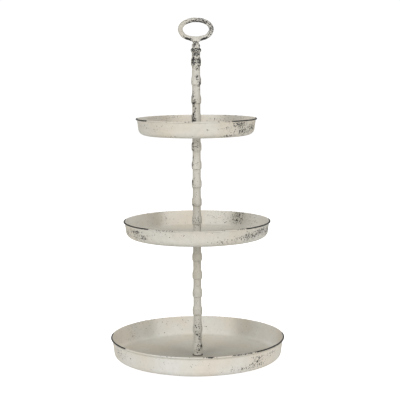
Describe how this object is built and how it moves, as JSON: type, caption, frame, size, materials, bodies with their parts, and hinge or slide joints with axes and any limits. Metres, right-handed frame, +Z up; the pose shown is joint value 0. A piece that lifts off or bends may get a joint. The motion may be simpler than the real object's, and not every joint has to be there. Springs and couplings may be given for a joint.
{
  "type": "tiered cake stand",
  "caption": "Tiered cake stand of pressed steel trays with wired rims, clamped on a knotted cast stem that screws together, with a ring handle.",
  "frame": {"origin": "on the surface that the stand rests on, on the stem's axis", "axes": "+Z up along the stem, +X to the right with the ring handle seen from the front, -Y towards the front"},
  "size_m": [0.3599, 0.36, 0.7042],
  "materials": {
    "tray_paint": "chalky off-white paint, worn to dark steel on the rims",
    "stem_paint": "chalky cream paint over cast metal, worn dark on the knots",
    "rim_wire_steel": "plain drawn wire",
    "zinc_steel": "zinc plated",
    "dark_washer": "matt dark fibre and rubber",
    "rubber_pad": "matt black"
  },
  "bodies": {
    "base": {"bottom_tray": "tray_paint", "bottom_rim_wire": "rim_wire_steel", "rubber_pad_1": "rubber_pad", "rubber_pad_2": "rubber_pad", "rubber_pad_3": "rubber_pad", "rubber_pad_4": "rubber_pad", "base_screw": "zinc_steel", "base_lock_washer": "zinc_steel", "base_washer": "zinc_steel", "bottom_tray_washer": "dark_washer", "lower_stem": "stem_paint", "middle_seat_washer": "dark_washer"},
    "middle_tray": {"middle_tray": "tray_paint", "middle_rim_wire": "rim_wire_steel"},
    "middle_lift": {"middle_clamp_washer": "dark_washer"},
    "middle_section": {"middle_stem": "stem_paint", "middle_stud": "zinc_steel", "top_seat_washer": "dark_washer"},
    "top_tray": {"top_tray": "tray_paint", "top_rim_wire": "rim_wire_steel"},
    "upper_lift": {"top_clamp_washer": "dark_washer"},
    "upper_section": {"upper_stem": "stem_paint", "upper_stud": "zinc_steel"},
    "handle_lift": {"handle_collar": "stem_paint"},
    "handle": {"ring_handle": "stem_paint", "handle_stud": "zinc_steel"}
  },
  "joints": [
    {"name": "middle_tray_turn", "type": "hinge", "parent": "base", "child": "middle_tray", "pos_m": [0, 0, 0.2586], "axis": [0, 0, 1], "continuous": true},
    {"name": "middle_section_lift", "type": "slide", "parent": "base", "child": "middle_lift", "axis": [0, 0, 1], "range_m": [0, 0.01]},
    {"name": "middle_section_unscrew", "type": "hinge", "parent": "middle_lift", "child": "middle_section", "pos_m": [0, 0, 0.2604], "axis": [0, 0, 1], "range_deg": [0, 3601]},
    {"name": "top_tray_turn", "type": "hinge", "parent": "middle_section", "child": "top_tray", "pos_m": [0, 0, 0.468], "axis": [0, 0, 1], "continuous": true},
    {"name": "upper_section_lift", "type": "slide", "parent": "middle_section", "child": "upper_lift", "axis": [0, 0, 1], "range_m": [0, 0.01]},
    {"name": "upper_section_unscrew", "type": "hinge", "parent": "upper_lift", "child": "upper_section", "pos_m": [0, 0, 0.4698], "axis": [0, 0, 1], "range_deg": [0, 3601]},
    {"name": "handle_lift", "type": "slide", "parent": "upper_section", "child": "handle_lift", "axis": [0, 0, 1], "range_m": [0, 0.01]},
    {"name": "handle_unscrew", "type": "hinge", "parent": "handle_lift", "child": "handle", "pos_m": [0, 0, 0.643], "axis": [0, 0, 1], "range_deg": [0, 3601]}
  ],
  "couplings": [
    {"joint": "middle_section_unscrew", "follows": "middle_section_lift", "rad_per_m": 6283.2},
    {"joint": "upper_section_unscrew", "follows": "upper_section_lift", "rad_per_m": 6283.2},
    {"joint": "handle_unscrew", "follows": "handle_lift", "rad_per_m": 6283.2}
  ]
}
